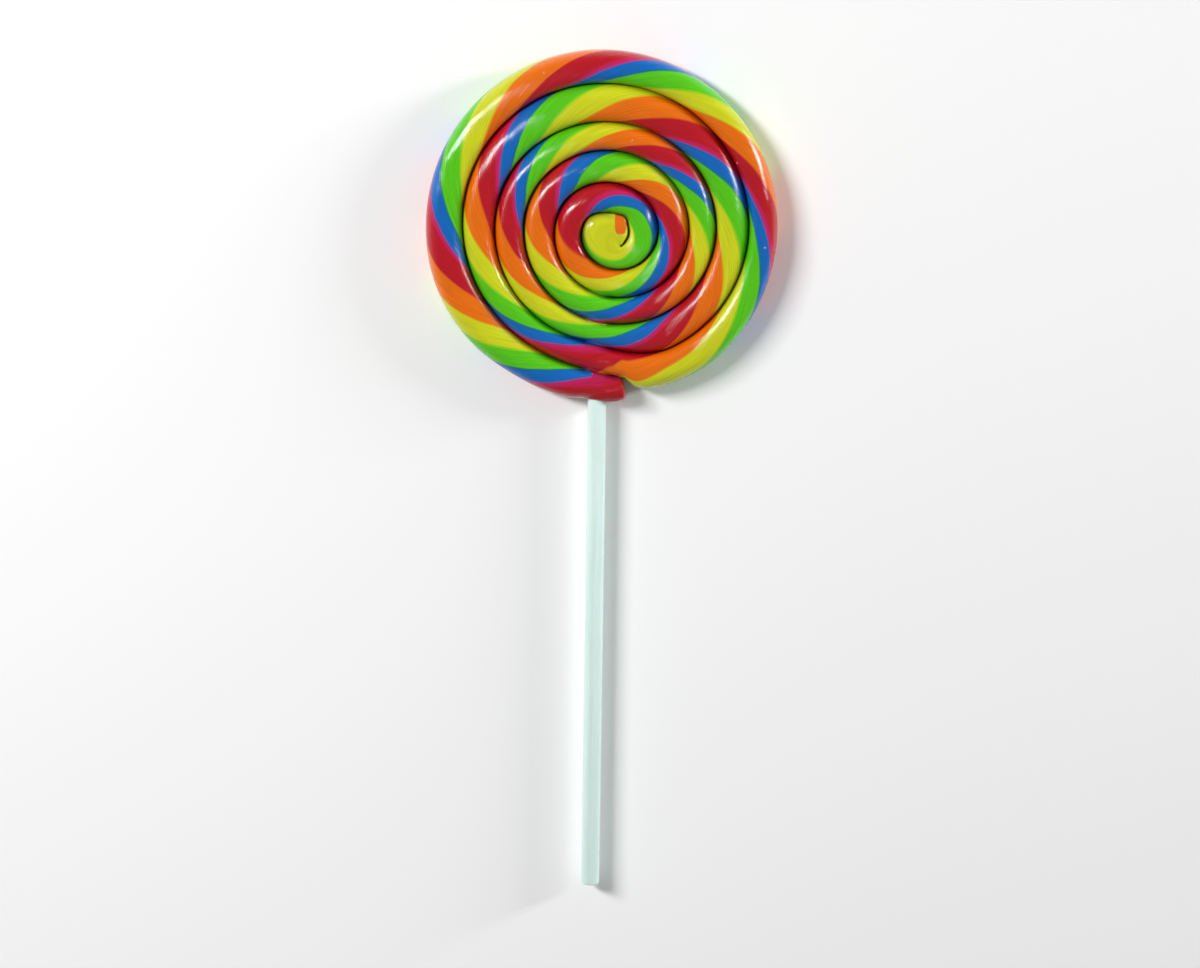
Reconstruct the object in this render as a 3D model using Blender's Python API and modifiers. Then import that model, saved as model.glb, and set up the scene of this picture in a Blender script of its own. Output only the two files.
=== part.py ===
"""A swirl lollipop: one twisted sugar rope, coiled flat and pressed, on a straight plastic stick.

It lies on its flat back with the swirl up. Metres, +Z up, stick along -Y.
"""

import math

import bmesh
import bpy
from mathutils import Vector

for old in list(bpy.data.objects):
    bpy.data.objects.remove(old, do_unlink=True)

# Driving dimensions of the candy. A place along the rope is counted in turns, clockwise seen from
# above, from the stick's line at the tail.
RIM_RADIUS = 0.04505
RIM_SIDE, RIM_FORWARD = -0.0003, -0.0006
THICKNESS = 0.0100
WALL_TOP = 0.0062  # the turns touch each other between these two heights
WALL_FOOT = 0.0017
CROWN_FULLNESS = 2.2
TURN_OVERLAP = 0.00015  # how far each turn is pressed into the next

# The groove inside each turn is nearly a ring, and steps in to the next ring as it passes the stick.
RING_RADII = (0.0365, 0.0284, 0.0210, 0.0130, 0.0054)
RING_FORWARD = (-0.0002, -0.0020, -0.0020, -0.0023, -0.0028)
RING_SIDE = 0.0013
RING_CREEP = 0.0021
RING_OVAL = (-0.0003, -0.0003)
STEP_TURNS = (0.11, 0.62, 0.59, 0.53)
STEP_LEADS = (-0.03, -0.05, 0.0, 0.0)

TAIL_TURN = -0.0255
TAIL_FLARE, TAIL_FLARE_TURNS = 0.0042, 0.0306
TAIL_THICKNESS = 0.0080
TAIL_TAPER_TURNS = 0.05
WEDGE_TURNS = (0.900, 0.9745)  # where the last turn's outside gives way to the tail
WEDGE_EASE, WEDGE_BLUNTNESS = 0.0018, 8
HEART_TURN = 4.893  # where the rope's inner end starts to curl round its pit
HEART_END_TURN = 5.64
PIT_RADIUS = 0.0009
SECTIONS_PER_TURN = 44
FINE_SECTIONS = 3  # sections in place of one, at the tail and where the last turn meets it
CROWN_POINTS = 9

# Driving dimensions of the stick, which is pushed in from the rim at half the candy's height.
STICK_DIAMETER = 0.00475
STICK_EXPOSED = 0.130
STICK_SUNK = 0.028
STICK_EDGE = 0.0004
STICK_CLEARANCE = 0.0003
STICK_SIDE = -0.0009  # from the coil's middle
COLLAR_RADIUS, COLLAR_INSET = 0.0038, 0.004  # candy squeezed round the sunk stick
WEB_RADIUS, WEB_DEPTH = 0.037, 0.003


def smooth(share):
    share = min(max(share, 0.0), 1.0)
    return share * share * (3.0 - 2.0 * share)


def coil_point(turn, radius):
    """A point in the coil's plane, clockwise from the stick's side (-Y)."""
    angle = math.tau * (turn + 0.5)
    return Vector((radius * math.sin(angle), radius * math.cos(angle), 0.0))


def groove_radius(turn):
    """Distance of the groove inside the rope from the coil's middle."""
    radius, forward, steps = RING_RADII[0], RING_FORWARD[0], 0.0
    for ring in range(1, len(RING_RADII)):
        step = smooth((turn - ring - STEP_LEADS[ring - 1]) / STEP_TURNS[ring - 1] + 0.5)
        radius += (RING_RADII[ring] - RING_RADII[ring - 1]) * step
        forward += (RING_FORWARD[ring] - RING_FORWARD[ring - 1]) * step
        steps += step
    angle = math.tau * (turn + 0.5)
    radius += forward * math.cos(angle) + RING_SIDE * math.sin(angle)
    radius += RING_OVAL[0] * math.cos(2.0 * angle) + RING_OVAL[1] * math.sin(2.0 * angle)
    radius += RING_CREEP * (steps + 0.5 - turn)
    return radius + TAIL_FLARE * math.exp((TAIL_TURN - turn) / TAIL_FLARE_TURNS)


def outer_radius(turn):
    """Distance of the rope's outside: the disc's rim on the first turn, then the last turn's groove."""
    if turn >= WEDGE_TURNS[1]:
        return groove_radius(turn - 1.0)
    angle = math.tau * (turn + 0.5)
    rim = RIM_RADIUS + RIM_SIDE * math.sin(angle) + RIM_FORWARD * math.cos(angle)
    if turn <= WEDGE_TURNS[0]:
        return rim
    share = (turn - WEDGE_TURNS[0]) / (WEDGE_TURNS[1] - WEDGE_TURNS[0])
    eased = rim - WEDGE_EASE * share
    return eased + (groove_radius(turn - 1.0) - eased) * share**WEDGE_BLUNTNESS


def section_turns():
    """Places along the rope from the tail to the heart, closer together round the tail."""
    places, turn = [], TAIL_TURN
    while turn < HEART_TURN - 0.5 / SECTIONS_PER_TURN:
        places.append(turn)
        fine = turn < TAIL_TAPER_TURNS or abs(turn - WEDGE_TURNS[1]) < TAIL_TAPER_TURNS
        turn += 1.0 / SECTIONS_PER_TURN / (FINE_SECTIONS if fine else 1)
    return places + [HEART_TURN]


def rope_sections():
    """(inner point, outer point, thickness) of each section, from the tail to the heart."""
    sections = []
    for turn in section_turns():
        inner = coil_point(turn, groove_radius(turn))
        outer = coil_point(turn, outer_radius(turn))
        taper = smooth((turn - TAIL_TURN) / TAIL_TAPER_TURNS)
        sections.append((inner, outer, TAIL_THICKNESS + (THICKNESS - TAIL_THICKNESS) * taper))
    pit = sections[-1][0] - (sections[-1][1] - sections[-1][0]).normalized() * PIT_RADIUS
    count = round((HEART_END_TURN - HEART_TURN) * SECTIONS_PER_TURN)
    for i in range(1, count + 1):
        turn = HEART_TURN + (HEART_END_TURN - HEART_TURN) * i / count
        outer = coil_point(turn, groove_radius(turn - 1.0))
        inner = pit + (outer - pit).normalized() * PIT_RADIUS
        sections.append((inner, outer, THICKNESS))
    return sections


def section_outline():
    """(across, height) of one turn: a full crown, straight walls and a flat foot; across runs -1 to 1."""
    crown = []
    for i in range(CROWN_POINTS):
        across = math.sin(math.pi * (i / (CROWN_POINTS - 1) - 0.5))
        rise = (1.0 - abs(across) ** CROWN_FULLNESS) ** (1.0 / CROWN_FULLNESS)
        crown.append((across, WALL_TOP + (THICKNESS - WALL_TOP) * rise))
    foot = [(1.0, WALL_FOOT), (0.75, 0.0), (0.0, 0.0), (-0.75, 0.0), (-1.0, WALL_FOOT)]
    return crown + foot


def make_rope():
    """Skins the sections one to the next, because no modifier lofts sections of unlike width."""
    mesh = bmesh.new()
    rings = []
    for inner, outer, thickness in rope_sections():
        middle = (inner + outer) / 2.0
        reach = (outer - inner) / 2.0
        reach += reach.normalized() * TURN_OVERLAP
        ring = []
        for across, height in section_outline():
            place = middle + reach * across
            place.z = height * thickness / THICKNESS
            ring.append(mesh.verts.new(place))
        rings.append(ring)
    for ring, following in zip(rings, rings[1:]):
        for i, corner in enumerate(ring):
            j = (i + 1) % len(ring)
            mesh.faces.new((corner, ring[j], following[j], following[i]))
    mesh.faces.new(rings[0][::-1])
    mesh.faces.new(rings[-1])
    bmesh.ops.recalc_face_normals(mesh, faces=mesh.faces)
    return mesh


def add_object(name, mesh, collection):
    data = bpy.data.meshes.new(name)
    mesh.to_mesh(data)
    mesh.free()
    added = bpy.data.objects.new(name, data)
    collection.objects.link(added)
    return added


def make_material(name, colour, roughness):
    material = bpy.data.materials.new(name)
    material.use_nodes = True
    shader = material.node_tree.nodes["Principled BSDF"]
    shader.inputs["Base Color"].default_value = (*colour, 1.0)
    shader.inputs["Roughness"].default_value = roughness
    return material


lollipop = bpy.data.collections.new("swirl_lollipop")
cutters = bpy.data.collections.new("cutters")
for collection in (lollipop, cutters):
    bpy.context.scene.collection.children.link(collection)

candy = add_object("candy", make_rope(), lollipop)
candy.data.materials.append(make_material("sugar", (0.62, 0.24, 0.03), 0.2))


def add_bar(name, radius, low, high, collection):
    """A round bar on the stick's axis, between two places on Y."""
    mesh = bmesh.new()
    bmesh.ops.create_cone(
        mesh, cap_ends=True, segments=32, radius1=radius, radius2=radius, depth=high - low
    )
    bar = add_object(name, mesh, collection)
    bar.rotation_euler.x = math.radians(90.0)
    bar.location = (STICK_SIDE, (low + high) / 2.0, THICKNESS / 2.0)
    return bar


def combine(target, operation, helper, solver):
    """Joins or cuts the target with a helper shape; the exact solver fuses touching turns as well."""
    modifier = target.modifiers.new(helper.name, "BOOLEAN")
    modifier.operation = operation
    modifier.object = helper
    modifier.solver = solver
    modifier.use_self = solver == "EXACT"


rim_at_stick = -(RIM_RADIUS - RIM_FORWARD)

# The middle of the candy is pressed solid, and a web of it closes the grooves over the sunk stick.
web_mesh = bmesh.new()
bmesh.ops.create_cone(
    web_mesh, cap_ends=True, segments=48, radius1=WEB_RADIUS, radius2=WEB_RADIUS, depth=WEB_DEPTH
)
web = add_object("pressed_middle", web_mesh, cutters)
web.location.z = (WALL_TOP + WALL_FOOT) / 2.0
collar = add_bar(
    "collar", COLLAR_RADIUS, rim_at_stick + COLLAR_INSET, rim_at_stick + STICK_SUNK + COLLAR_INSET,
    cutters,
)
bore = add_bar(
    "stick_bore", STICK_DIAMETER / 2.0 + STICK_CLEARANCE, rim_at_stick - COLLAR_INSET,
    rim_at_stick + STICK_SUNK + STICK_CLEARANCE, cutters,
)
for helper in (web, collar, bore):
    helper.hide_render = True
    helper.display_type = "WIRE"
combine(candy, "UNION", web, "EXACT")
combine(candy, "UNION", collar, "MANIFOLD")
combine(candy, "DIFFERENCE", bore, "MANIFOLD")

stick = add_bar(
    "stick", STICK_DIAMETER / 2.0, rim_at_stick - STICK_EXPOSED, rim_at_stick + STICK_SUNK,
    lollipop,
)
stick.data.materials.append(make_material("plastic", (0.78, 0.85, 0.82), 0.4))
edge = stick.modifiers.new("edge", "BEVEL")
edge.width = STICK_EDGE
edge.segments = 2

# The origin goes to the middle of the whole lollipop's footprint, on the surface it lies on.
bpy.context.view_layer.update()
graph = bpy.context.evaluated_depsgraph_get()
corners = []
for piece in (candy, stick):
    final = piece.evaluated_get(graph)
    corners += [final.matrix_world @ Vector(corner) for corner in final.bound_box]
base = bpy.data.objects.new("base", None)
lollipop.objects.link(base)
for piece in (candy, stick, web, collar, bore):
    piece.parent = base
for axis in range(2):
    places = [corner[axis] for corner in corners]
    base.location[axis] = -(min(places) + max(places)) / 2.0
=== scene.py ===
import math

import bpy
from mathutils import Matrix, Vector, noise


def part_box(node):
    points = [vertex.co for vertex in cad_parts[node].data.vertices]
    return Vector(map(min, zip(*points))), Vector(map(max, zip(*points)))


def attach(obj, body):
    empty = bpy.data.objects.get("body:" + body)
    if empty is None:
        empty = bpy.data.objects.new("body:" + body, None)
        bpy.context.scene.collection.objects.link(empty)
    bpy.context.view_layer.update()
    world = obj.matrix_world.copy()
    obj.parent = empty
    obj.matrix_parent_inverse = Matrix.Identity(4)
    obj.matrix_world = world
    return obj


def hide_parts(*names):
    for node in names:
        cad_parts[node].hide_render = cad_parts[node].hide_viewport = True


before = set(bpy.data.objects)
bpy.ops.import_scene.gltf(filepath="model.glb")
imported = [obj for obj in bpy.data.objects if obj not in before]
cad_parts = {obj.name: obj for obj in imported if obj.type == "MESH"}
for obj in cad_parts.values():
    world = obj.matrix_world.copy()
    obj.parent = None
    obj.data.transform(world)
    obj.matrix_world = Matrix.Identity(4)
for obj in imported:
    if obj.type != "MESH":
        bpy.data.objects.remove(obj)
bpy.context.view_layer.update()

# ---------------------------------------------------------------------------------------------
# The candy: one rope of boiled sugar, striped in five twisted colours, coiled flat from its cut
# tail at the stick to a heart in the middle, and pressed so that each turn sticks to the next.
# Hands coil it and a plate presses it, so its back is flat and every turn is a little uneven.

MM = 0.001

# Places along the rope are counted in turns, clockwise from above, from the stick's line at the
# tail. Lengths are in millimetres.
tail_turn = -0.0235
heart_turn = 4.893  # here the rope's inner end starts to curl round its pit
heart_end_turn = 5.88

# The rim, with its hand-made bulges and hollows as (place, spread, height).
rim_radius = 45.05
rim_side, rim_forward = -0.3, -0.6
rim_lumps = ((-0.012, 0.012, 0.5), (0.011, 0.010, -0.45), (0.085, 0.035, -0.5), (0.19, 0.05, 0.3))

# The groove inside each turn is nearly a ring, and steps in to the next ring near the stick.
ring_radii = (36.4, 28.3, 20.9, 12.9, 5.2)
ring_forward = (0.0, -1.65, -1.5, -1.65, -1.8)
ring_side = (1.2, 1.4, 1.5, 1.55, 1.1)
ring_creep = 2.1
ring_oval = (-0.3, -0.3)
step_turns = (0.11, 0.62, 0.59, 0.53)
step_leads = (-0.03, -0.05, 0.0, 0.0)
tail_flare, tail_flare_turns = 2.6, 0.0306
heart_corner = (4.69, 0.035, 0.7)

# The last turn's outside gives way to the tail as a wedge.
wedge_from, wedge_to = 0.900, 0.9745
wedge_ease, wedge_bluntness = 1.8, 8

# The rope's inner end curls round a small pit and dives under the turn beside it.
pit_radius, pit_drift, pit_drift_turns = 0.3, Vector((0.7, 0.0, 0.0)), 0.2
pit_fill, fill_turns, end_fill_turns = 0.86, 0.2, 0.45
tuck_turns, tuck_depth, tuck_rows = 0.1, 0.35, 4.0

# The cross-section: a flat foot, touching walls and a crown that is fuller towards the middle.
candy_low, candy_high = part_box("candy")
thickness = (candy_high[2] - candy_low[2]) / MM
widest_height = 4.2
inner_fullness, outer_fullness, foot_fullness = 3.3, 2.5, 5.0
heart_flatness = 2.0
crown_height = 0.957  # of the full height, so that the wandering crown stays inside it
press = 0.03  # each turn bites this far into the next
tail_height, tail_taper = 0.82, 14.0

# How finely the rope is drawn.
row_length = 0.55
cut_steps, cut_rounding = (0.03, 0.07, 0.15, 0.25, 0.35, 0.45), 1.3
fan_rows = 72
rope_sides = 60


def smooth(share):
    share = min(max(share, 0.0), 1.0)
    return share * share * (3.0 - 2.0 * share)


def bell(turn, place, spread):
    return math.exp(-(((turn - place) / spread) ** 2))


def coil_point(turn, radius):
    """A point in the coil's plane, clockwise from the stick's side."""
    angle = math.tau * (turn + 0.5)
    return Vector((radius * math.sin(angle), radius * math.cos(angle), 0.0))


def groove_radius(turn):
    """Distance of the groove inside the rope from the coil's middle."""
    radius, forward, sideways, steps = ring_radii[0], ring_forward[0], ring_side[0], 0.0
    for ring in range(1, len(ring_radii)):
        step = smooth((turn - ring - step_leads[ring - 1]) / step_turns[ring - 1] + 0.5)
        radius += (ring_radii[ring] - ring_radii[ring - 1]) * step
        forward += (ring_forward[ring] - ring_forward[ring - 1]) * step
        sideways += (ring_side[ring] - ring_side[ring - 1]) * step
        steps += step
    angle = math.tau * (turn + 0.5)
    radius += forward * math.cos(angle) + sideways * math.sin(angle)
    radius += ring_oval[0] * math.cos(2.0 * angle) + ring_oval[1] * math.sin(2.0 * angle)
    radius += ring_creep * (steps + 0.5 - turn)
    place, spread, height = heart_corner
    radius += height * bell(turn, place, spread)
    return radius + tail_flare * math.exp((tail_turn - turn) / tail_flare_turns)


def outer_radius(turn):
    """Distance of the rope's outside: the rim on the first turn, then the last turn's groove."""
    if turn >= wedge_to:
        return groove_radius(turn - 1.0)
    angle = math.tau * (turn + 0.5)
    rim = rim_radius + rim_side * math.sin(angle) + rim_forward * math.cos(angle)
    for place, spread, height in rim_lumps:
        rim += height * bell(turn, place, spread)
    if turn <= wedge_from:
        return rim
    share = (turn - wedge_from) / (wedge_to - wedge_from)
    eased = rim - wedge_ease * share
    return eased + (groove_radius(turn - 1.0) - eased) * share**wedge_bluntness


def rope_rows():
    """(turn, inner point, outer point, fullness of the rounded end) of each row, tail to heart."""
    found, turn, length = [], tail_turn, 0.0
    while turn < heart_turn:
        inner, outer = groove_radius(turn), outer_radius(turn)
        drift = pit_drift * smooth((turn - heart_turn + pit_drift_turns) / pit_drift_turns)
        cut = (1.0 - (1.0 - min(length / cut_rounding, 1.0)) ** 4) ** (1 / 4)
        found.append((turn, coil_point(turn, inner) + drift, coil_point(turn, outer), cut))
        step = cut_steps[len(found) - 1] if len(found) <= len(cut_steps) else row_length
        turn += step / (math.pi * (inner + outer))
        length += step
    inner, outer = coil_point(heart_turn, groove_radius(heart_turn)) + pit_drift, found[-1][2]
    pit = inner - (outer - inner).normalized() * pit_radius
    for i in range(fan_rows + 1):
        turn = heart_turn + (heart_end_turn - heart_turn) * i / fan_rows
        outer = coil_point(turn, groove_radius(turn - 1.0))
        inner = pit + (outer - pit).normalized() * pit_radius
        tuck = (1.0 - (1.0 - min((fan_rows - i) / tuck_rows, 1.0)) ** 2) ** 0.5
        found.append((turn, inner, outer, tuck))
    return found


# The set of five colours starts over at these places, drawn out longest in the innermost turns.
set_starts = (-0.6, -0.263, 0.037, 0.237, 0.503, 0.745, 1.066, 1.343, 1.647, 1.944, 2.297, 2.649,
              2.950, 3.370, 3.808, 4.500, 5.95, 7.4)
# Where green, yellow, orange and red begin in a set. A few sets share out their colours unevenly.
even_shares = (0.0, 0.135, 0.335, 0.55, 0.77, 1.0)
uneven_sets = {4: (0.0, 0.13, 0.325, 0.52, 0.71, 1.0), 12: (0.0, 0.18, 0.39, 0.59, 0.79, 1.0),
               13: (0.0, 0.11, 0.22, 0.36, 0.56, 1.0)}
red_start, red_end = 0.785, 0.985
# The tail ends in red, and the heart in yellow with a patch of orange.
tail_set, tail_red, tail_blue_end = 1, 0.0125, 0.004
heart_set, heart_yellow = 14, 0.46
heart_patch, heart_patch_size = Vector((4.5, 1.0)), (1.5, 3.1)
# The tail pushes the stripes of the turn above it aside, and magenta spreads where the stick pinches.
wedge_lean, wedge_push = 0.07, 0.13
push_start, push_end = wedge_to + 0.012, wedge_to + 0.03
pinch_pink = 0.75


def stripe_phase(turn):
    """How many sets of colours have passed, eased so that no stripe changes width at once."""
    k = 1
    while turn > set_starts[k + 1]:
        k += 1
    start, end = set_starts[k], set_starts[k + 1]
    share = (turn - start) / (end - start)
    slope_in = 2.0 * (end - start) / (end - set_starts[k - 1])
    slope_out = 2.0 * (end - start) / (set_starts[k + 2] - start)
    cube, square = share**3, share**2
    eased = (cube - 2 * square + share) * slope_in + (3 * square - 2 * cube)
    return k - 1 + eased + (cube - square) * slope_out


def stripe_place(turn, around, place):
    """The place in the run of colours: it leans, because the rope was twisted before coiling."""
    stripe = stripe_phase(turn) - around
    squeezed = smooth((turn - wedge_from + 0.02) / 0.06) * (1.0 - smooth((turn - wedge_to) / 0.015))
    pushed = smooth((turn - push_start) / 0.022) * (1.0 - smooth((turn - push_end) / 0.06))
    stripe -= wedge_lean * squeezed
    stripe += wedge_push * pushed * math.sin(math.tau * min(max(around, 0.0), 0.25))
    stripe = max(stripe, tail_set - 0.2)
    if turn < tail_red:
        stripe = min(stripe, tail_set - 0.03 + 0.2 * smooth((turn - tail_red) / tail_blue_end + 1.0))
    number = math.floor(stripe)
    own = uneven_sets.get(number, even_shares)
    share, k = stripe - number, 0
    while k < 4 and share > own[k + 1]:
        k += 1
    into = (share - own[k]) / (own[k + 1] - own[k])
    even = even_shares[k] + into * (even_shares[k + 1] - even_shares[k])
    stripe = number + even
    pinched = min(0.8 * bell(turn, 1.015, 0.05) + bell(turn, 0.0, 0.04), 1.0)
    stripe += pinch_pink * max(red_end - even, 0.0) * pinched * smooth((even - red_start) / 0.1)
    if turn > 4.4:
        stripe = min(stripe, heart_set + heart_yellow)
    if turn > heart_turn:
        off = (place - coil_middle).to_2d() - heart_patch
        off = abs(off.x / heart_patch_size[0]) ** 3 + abs(off.y / heart_patch_size[1]) ** 3
        stripe += 0.2 * smooth((1.4 - off) / 0.8)
    return stripe


# Painted shade darkens both sides of each groove, from these shares of the way round outwards.
inner_shade_edge, outer_shade_edge, shade_blend = 0.155, 0.18, 0.08
shade_depth, shade_deepening = 0.55, 0.1


# How much painted shade darkens the groove at this point, with more over the sunk stick.
def groove_shade_amount(turn, around, height, over_stick):
    outward = around > 0.0
    edge = inner_shade_edge if around < 0.0 else outer_shade_edge - 0.045 * smooth((turn - 4.8) / 0.1)
    near = smooth((abs(around) - edge + 0.03 * smooth(turn - 4.0)) / shade_blend)
    near *= smooth((height - 1.0) / 2.0)
    near += over_stick * smooth((abs(around) - 0.15) / 0.04) * (1.0 - near)
    deep = shade_depth + shade_deepening * smooth((turn - 3.6) / 0.8)
    if outward:
        deep *= smooth((turn - wedge_from) / 0.07) * (1.0 - 0.8 * smooth((turn - 5.55) / 0.1))
    else:
        deep *= 1.0 - 0.9 * smooth((turn - 4.66) / 0.1)
    return near * deep * (1.0 + 0.25 * over_stick)


bpy.ops.object.select_all(action="DESELECT")
rows = rope_rows()
last_row = len(rows) - 1
bpy.ops.mesh.primitive_grid_add(x_subdivisions=last_row, y_subdivisions=rope_sides, size=1.0)
candy = bpy.context.object
candy.name = "coiled_candy"
grid_place = [(round((v.co.x + 0.5) * last_row), round((v.co.y + 0.5) * rope_sides))
              for v in candy.data.vertices]
lengths = [0.0]
for (_, inner, outer, _), (_, inner2, outer2, _) in zip(rows, rows[1:]):
    lengths.append(lengths[-1] + ((inner2 + outer2) - (inner + outer)).length / 2)

centre = Vector(((candy_low[0] + candy_high[0]) / 2, (candy_low[1] + candy_high[1]) / 2, 0)) / MM
coil_middle = centre - Vector((rim_side, rim_forward, 0.0))
stick_low, stick_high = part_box("stick")
stick_middle = (stick_low[0] + stick_high[0]) / 2 / MM
stick_tip = stick_high[1] / MM
lip_start = centre.y - 45.8
lip_radius, lip_height, lip_share = 3.9, 5.0, 0.85

stripes_at, painted_shade_at = [], []
for vertex, (row, side) in zip(candy.data.vertices, grid_place):
    turn, inner, outer, end = rows[row]
    length = lengths[row]
    around = side / rope_sides - 0.5
    across, up = math.sin(math.tau * around), math.cos(math.tau * around)
    fullness = inner_fullness if around < 0.0 else outer_fullness
    fullness += heart_flatness * smooth((turn - heart_turn + 0.1) / 0.2)
    if up < 0.0:
        fullness = foot_fullness
    rise = (1.0 - min(abs(across), 1.0) ** fullness) ** (1.0 / fullness)
    # Sugar run together fills the heart's crease.
    if -0.24 < around < 0.0:
        rise += pit_fill * (1.0 - rise) * smooth((turn - heart_turn + fill_turns) / 0.2)
    elif 0.0 <= around < 0.24:
        rise += pit_fill * (1.0 - rise) * smooth((turn - heart_end_turn + end_fill_turns) / 0.2)
    taper = tail_height + (1.0 - tail_height) * smooth(length / tail_taper)
    wander = noise.noise(Vector((length * 0.055, 3.1, 0.0))) * 0.035
    wander += noise.noise(Vector((length * 0.16, across * 0.8, 8.0))) * 0.022
    middle, reach = (inner + outer) / 2, (outer - inner) / 2
    place = middle + (reach + reach.normalized() * press) * across * end + coil_middle
    crown = (thickness - widest_height) * taper
    crown *= 1.0 - tuck_depth * smooth((turn - heart_end_turn + tuck_turns) / tuck_turns)
    if up >= 0.0:
        place.z = widest_height + crown * rise * (crown_height + wander) * end
    else:
        place.z = widest_height * (1.0 - rise * end)
    # Sugar squeezed over the sunk stick fills the grooves there.
    off_stick = abs(place.x - stick_middle)
    sunk = smooth((stick_tip + 2.0 - place.y) / 3.0) * smooth((place.y - lip_start) / 2.0)
    if up > 0.0 and off_stick < lip_radius:
        lip = lip_height + math.sqrt(lip_radius**2 - off_stick**2) * 0.9
        place.z += max(lip - place.z, 0.0) * sunk * lip_share
    vertex.co = place * MM
    stripes_at.append(stripe_place(turn, around, place))
    # Painted shade for the grooves, darker over the sunk stick, kept on each point.
    over_stick = sunk * smooth((6.0 - off_stick) / 3.0)
    painted_shade_at.append(groove_shade_amount(turn, around, place.z, over_stick))
painted_groove_shade = candy.data.attributes.new("painted_groove_shade", "FLOAT", "POINT")
for dark, shade in zip(painted_groove_shade.data, painted_shade_at):
    dark.value = shade
rope = candy.data.uv_layers[0]
rope.name = "rope"
for loop in candy.data.loops:
    side = grid_place[loop.vertex_index][1]
    rope.data[loop.index].uv = (stripes_at[loop.vertex_index], side / rope_sides)

bpy.ops.object.mode_set(mode="EDIT")
bpy.ops.mesh.select_all(action="SELECT")
bpy.ops.mesh.remove_doubles(threshold=0.001 * MM)
bpy.ops.mesh.normals_make_consistent(inside=False)
bpy.ops.object.mode_set(mode="OBJECT")
bpy.ops.object.shade_smooth()


def begin_finish(name):
    """A new finish: its material, its shader, and short ways to add a node and to wire two."""
    material = bpy.data.materials.new(name)
    material.use_nodes = True
    tree = material.node_tree

    def add(kind, **settings):
        node = tree.nodes.new(kind)
        for setting, value in settings.items():
            if setting in node.inputs:
                node.inputs[setting].default_value = value
            else:
                setattr(node, setting, value)
        return node

    return material, tree.nodes["Principled BSDF"], add, tree.links.new


def spread_out(source, low, high, new_low, new_high):
    """Maps a value from one span to another, in the finish being wired."""
    node = add("ShaderNodeMapRange")
    spans = (("From Min", low), ("From Max", high), ("To Min", new_low), ("To Max", new_high))
    for name, value in spans:
        node.inputs[name].default_value = value
    link(source, node.inputs["Value"])
    return node.outputs[0]


def times(first, second, clamped=False):
    """Two values multiplied, in the finish being wired."""
    node = add("ShaderNodeMath", operation="MULTIPLY", use_clamp=clamped)
    link(first, node.inputs[0])
    if isinstance(second, float):
        node.inputs[1].default_value = second
    else:
        link(second, node.inputs[1])
    return node.outputs[0]


def add_scaled(source, factor, other):
    """One value times a factor, added to another."""
    node = add("ShaderNodeMath", operation="MULTIPLY_ADD")
    link(source, node.inputs[0])
    node.inputs[1].default_value = factor
    link(other, node.inputs[2])
    return node.outputs[0]


def stretched_noise(place, scale, detail, roughness):
    """Noise drawn out along one way by stretching the place that it reads."""
    stretch = add("ShaderNodeMapping")
    stretch.inputs["Scale"].default_value = scale
    link(place, stretch.inputs["Vector"])
    cloud = add("ShaderNodeTexNoise", Scale=1.0, Detail=detail, Roughness=roughness)
    link(stretch.outputs[0], cloud.inputs["Vector"])
    return cloud.outputs["Fac"]


def colour(red, green, blue):
    """Linear values of a colour given in the usual 0 to 255."""
    picked = []
    for value in (red, green, blue):
        value /= 255
        picked.append(value / 12.92 if value <= 0.04045 else ((value + 0.055) / 1.055) ** 2.4)
    return (*picked, 1.0)


blue, teal = colour(10, 102, 184), colour(10, 122, 105)
green, lime = colour(86, 197, 18), colour(140, 206, 22)
yellow, orange = colour(205, 210, 26), colour(230, 110, 3)
red, magenta = colour(183, 16, 32), colour(195, 30, 100)
# The near-black of the painted shade in the grooves.
groove_shade_colour = (0.004, 0.006, 0.006, 1)
bubble_white = (0.8, 0.8, 0.78, 1)
# Where each colour begins and ends, as a share of the set.
stripes = ((0.0, magenta), (0.012, blue), (0.128, blue), (0.140, teal), (0.150, green),
           (0.325, green), (0.345, lime), (0.365, yellow), (0.545, yellow), (0.567, orange),
           (0.765, orange), (0.785, red), (0.950, red), (0.985, magenta), (1.0, magenta))

sugar, shader, add, link = begin_finish("boiled_sugar")
rope = add("ShaderNodeUVMap", uv_map="rope")
split = add("ShaderNodeSeparateXYZ")
link(rope.outputs["UV"], split.inputs[0])
pulled = add("ShaderNodeCombineXYZ")
link(split.outputs["X"], pulled.inputs["X"])
link(split.outputs["Y"], pulled.inputs["Y"])
# Hair lines left by pulling the sugar run along the stripes, and slow waves move their edges.
hairs = stretched_noise(pulled.outputs[0], (90.0, 4.0, 1.0), 3.0, 0.6)
waves = stretched_noise(pulled.outputs[0], (7.0, 4.0, 1.0), 2.0, 0.5)
waved = add_scaled(hairs, 0.012, add_scaled(waves, 0.045, split.outputs["X"]))
level = add("ShaderNodeMath", operation="SUBTRACT")
level.inputs[1].default_value = 0.0285
link(waved, level.inputs[0])
share = add("ShaderNodeMath", operation="FRACT")
link(level.outputs[0], share.inputs[0])
ramp = add("ShaderNodeValToRGB")
link(share.outputs[0], ramp.inputs[0])
stops = ramp.color_ramp.elements
while len(stops) < len(stripes):
    stops.new(0.5)
for stop, (place, tone) in zip(stops, stripes):
    stop.position = place
    stop.color = tone
# The sugar is a little paler and darker from hair to hair.
tint = add("ShaderNodeVectorMath", operation="SCALE")
link(ramp.outputs["Color"], tint.inputs[0])
link(spread_out(hairs, 0.3, 0.7, 0.83, 1.14), tint.inputs["Scale"])
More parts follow.
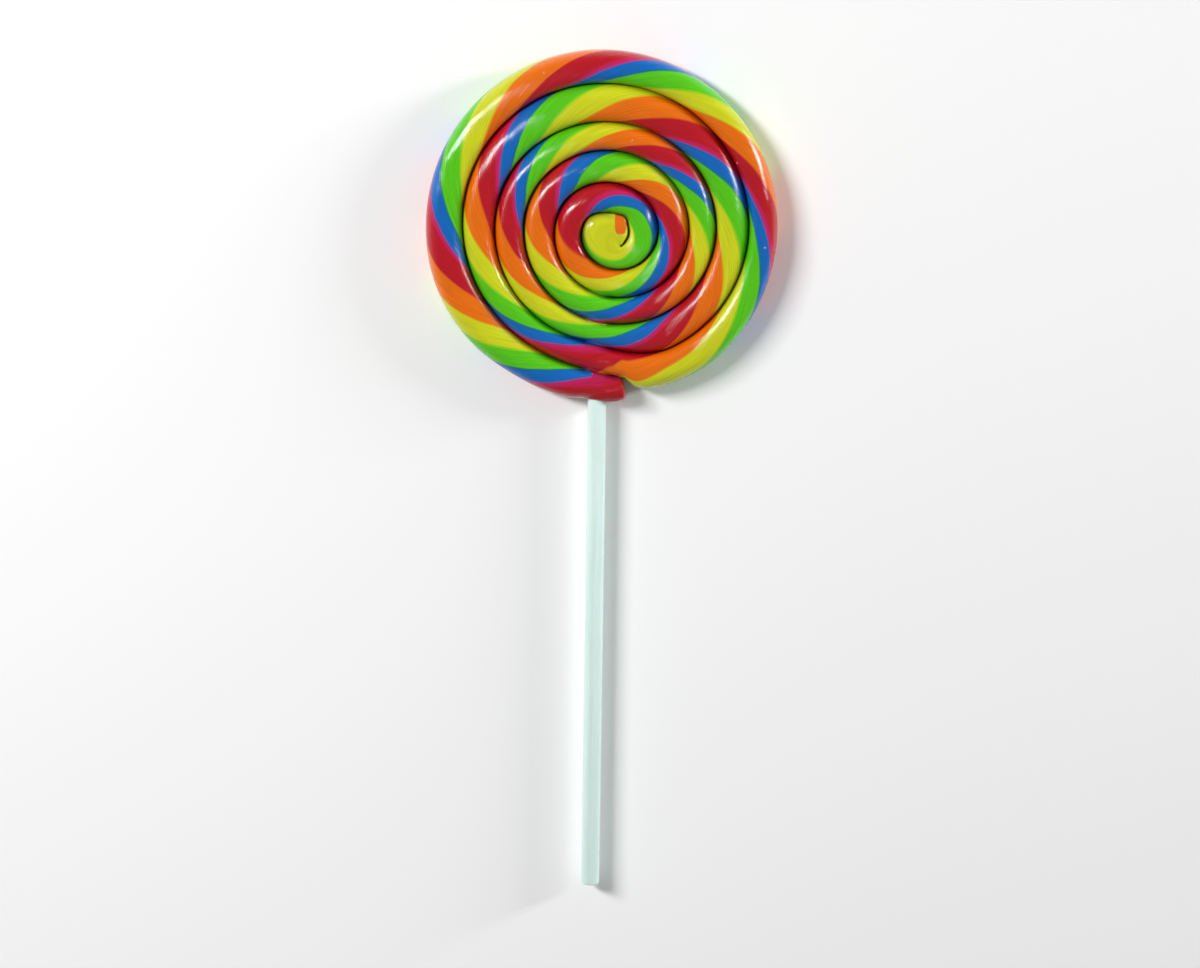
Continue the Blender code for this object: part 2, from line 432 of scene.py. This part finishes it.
# A few tiny bubbles lie under the skin.
spots = add("ShaderNodeTexCoord")
cells = add("ShaderNodeTexVoronoi", Scale=230.0)
link(spots.outputs["Object"], cells.inputs["Vector"])
few = add("ShaderNodeMath", operation="GREATER_THAN")
few.inputs[1].default_value = 0.8
link(cells.outputs["Color"], few.inputs[0])
bubbles = times(spread_out(cells.outputs["Distance"], 0.05, 0.09, 1.0, 0.0), few.outputs[0])
dotted = add("ShaderNodeMix", data_type="RGBA")
dotted.inputs["B"].default_value = bubble_white
link(times(bubbles, 0.35), dotted.inputs["Factor"])
link(tint.outputs[0], dotted.inputs["A"])
# Painted shade darkens the grooves between the turns, more here and less there, in fine wisps.
shade_attribute = add("ShaderNodeAttribute", attribute_name="painted_groove_shade")
wispy_shade = times(shade_attribute.outputs["Fac"], spread_out(hairs, 0.35, 0.65, 0.5, 1.5))
groove_shade_factor = times(wispy_shade, spread_out(waves, 0.35, 0.6, 0.55, 1.0), clamped=True)
darken = add("ShaderNodeMix", data_type="RGBA")
darken.inputs["B"].default_value = groove_shade_colour
link(groove_shade_factor, darken.inputs["Factor"])
link(dotted.outputs["Result"], darken.inputs["A"])
link(darken.outputs["Result"], shader.inputs["Base Color"])
# The skin is glossy, but not evenly so, and keeps the faintest ridges.
link(spread_out(waves, 0.3, 0.7, 0.1, 0.2), shader.inputs["Roughness"])
ridge = add("ShaderNodeBump", Strength=0.6, Distance=0.2 * MM)
link(hairs, ridge.inputs["Height"])
link(ridge.outputs[0], shader.inputs["Normal"])
shader.inputs["Subsurface Weight"].default_value = 0.12
shader.inputs["Subsurface Scale"].default_value = 2.0 * MM
shader.inputs["Subsurface Radius"].default_value = (1.0, 0.6, 0.4)
shader.inputs["Coat Weight"].default_value = 0.15
shader.inputs["Coat Roughness"].default_value = 0.1
candy.data.materials.append(sugar)

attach(candy, "root")
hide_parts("candy")

# ---------------------------------------------------------------------------------------------
# The stick: a straight extruded bar of white plastic, satin, with its edges just broken, pushed
# into the sugar while that was still warm. It keeps a faint cool tint.

stick_length = stick_high[1] - stick_low[1]
stick_radius = (stick_high[2] - stick_low[2]) / 2
stick_centre = [(low + high) / 2 for low, high in zip(stick_low, stick_high)]
edge_width, edge_steps = 0.4 * MM, 4

bpy.ops.object.select_all(action="DESELECT")
bpy.ops.mesh.primitive_cylinder_add(
    vertices=64, radius=stick_radius, depth=stick_length, location=stick_centre,
    rotation=(math.radians(90), 0, 0),
)
stick = bpy.context.object
stick.name = "white_stick"
bpy.ops.object.transform_apply(location=True, rotation=True, scale=True)
broken = stick.modifiers.new("broken_edge", "BEVEL")
broken.width = edge_width
broken.segments = edge_steps
broken.limit_method = "ANGLE"
bpy.ops.object.modifier_apply(modifier="broken_edge")
bpy.ops.object.shade_smooth_by_angle(angle=math.radians(35))

plastic, shader, add, link = begin_finish("white_plastic")
place = add("ShaderNodeTexCoord")
# Fine lines run along the bar, as the die drew them.
lines = stretched_noise(place.outputs["Object"], (2500.0, 60.0, 2500.0), 2.0, 0.5)
tone = add("ShaderNodeValToRGB")
tone.color_ramp.elements[0].color = colour(213, 238, 231)
tone.color_ramp.elements[0].position = 0.3
tone.color_ramp.elements[1].color = colour(223, 246, 240)
tone.color_ramp.elements[1].position = 0.7
link(lines, tone.inputs[0])
link(tone.outputs[0], shader.inputs["Base Color"])
link(spread_out(lines, 0.3, 0.7, 0.36, 0.5), shader.inputs["Roughness"])
grain = add("ShaderNodeBump", Strength=0.05, Distance=0.1 * MM)
link(lines, grain.inputs["Height"])
link(grain.outputs[0], shader.inputs["Normal"])
shader.inputs["Subsurface Weight"].default_value = 0.1
shader.inputs["Subsurface Scale"].default_value = 2.0 * MM
stick.data.materials.append(plastic)

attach(stick, "root")
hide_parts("stick")

# ---------------------------------------------------------------------------------------------
# The studio: a near-white sheet under the lollipop, two soft boxes to the left and right of its
# head, and an even white room.

bpy.ops.object.select_all(action="DESELECT")
bpy.ops.mesh.primitive_plane_add(size=3.0, location=(0.0, 0.0, 0.0))
floor = bpy.context.object
floor.name = "paper"
paper, shader, add, link = begin_finish("paper_white")
shader.inputs["Base Color"].default_value = (0.97, 0.97, 0.97, 1)
shader.inputs["Roughness"].default_value = 0.9
floor.data.materials.append(paper)

disc_middle = Vector((coil_middle.x, coil_middle.y, 4.4)) * MM
box_distance = 1.1


def add_soft_box(name, compass, tilt, width, height, power):
    """A soft box aimed at the disc, compass degrees clockwise from its head, tilt from overhead."""
    turn, lean = math.radians(compass), math.radians(tilt)
    away = Vector((math.sin(turn) * math.sin(lean), math.cos(turn) * math.sin(lean), math.cos(lean)))
    bpy.ops.object.light_add(type="AREA", location=disc_middle + away * box_distance)
    lamp = bpy.context.object
    lamp.name = name
    lamp.data.shape = "RECTANGLE"
    lamp.data.size = width
    lamp.data.size_y = height
    lamp.data.energy = power
    lamp.rotation_euler = away.to_track_quat("Z", "Y").to_euler()


add_soft_box("left_soft_box", compass=298.0, tilt=44.0, width=0.17, height=0.45, power=10.2)
add_soft_box("right_soft_box", compass=72.0, tilt=77.0, width=0.14, height=0.45, power=9.0)

# The room is brightest low down, and dimmer overhead.
room = bpy.data.worlds.new("white_room")
bpy.context.scene.world = room
room.use_nodes = True
sky, wire = room.node_tree.nodes, room.node_tree.links.new
direction = sky.new("ShaderNodeTexCoord")
height = sky.new("ShaderNodeSeparateXYZ")
fade = sky.new("ShaderNodeValToRGB")
fade.color_ramp.elements[0].color = (0.4, 0.4, 0.4, 1)
fade.color_ramp.elements[1].color = (0.2, 0.2, 0.2, 1)
fade.color_ramp.elements[1].position = 0.6
wire(direction.outputs["Generated"], height.inputs[0])
wire(height.outputs["Z"], fade.inputs[0])
wire(fade.outputs["Color"], sky["Background"].inputs["Color"])

# The camera looks down on the lying lollipop, from a little past its head.
focal_length, sensor_width = 102.2, 36.0
reach_to_disc = 0.874
look_tilt, roll = math.radians(10.5), math.radians(0.83)
aim_right, aim_up = 0.00088, 0.07631  # how far off the disc it aims, for each metre of reach
look = Vector((0.0, -math.sin(look_tilt), -math.cos(look_tilt)))
level_up = Vector((0.0, math.cos(look_tilt), -math.sin(look_tilt)))
level_right = look.cross(level_up)
upward = level_up * math.cos(roll) - level_right * math.sin(roll)
right = level_right * math.cos(roll) + level_up * math.sin(roll)
eye = disc_middle - (look + upward * aim_up + right * aim_right) * reach_to_disc
bpy.ops.object.camera_add()
camera = bpy.context.object
camera.matrix_world = Matrix.Translation(eye) @ Matrix((right, upward, -look)).transposed().to_4x4()
camera.data.lens = focal_length
camera.data.sensor_width = sensor_width
camera.data.clip_start = 0.01
bpy.context.scene.camera = camera
bpy.context.scene.view_settings.view_transform = "Standard"
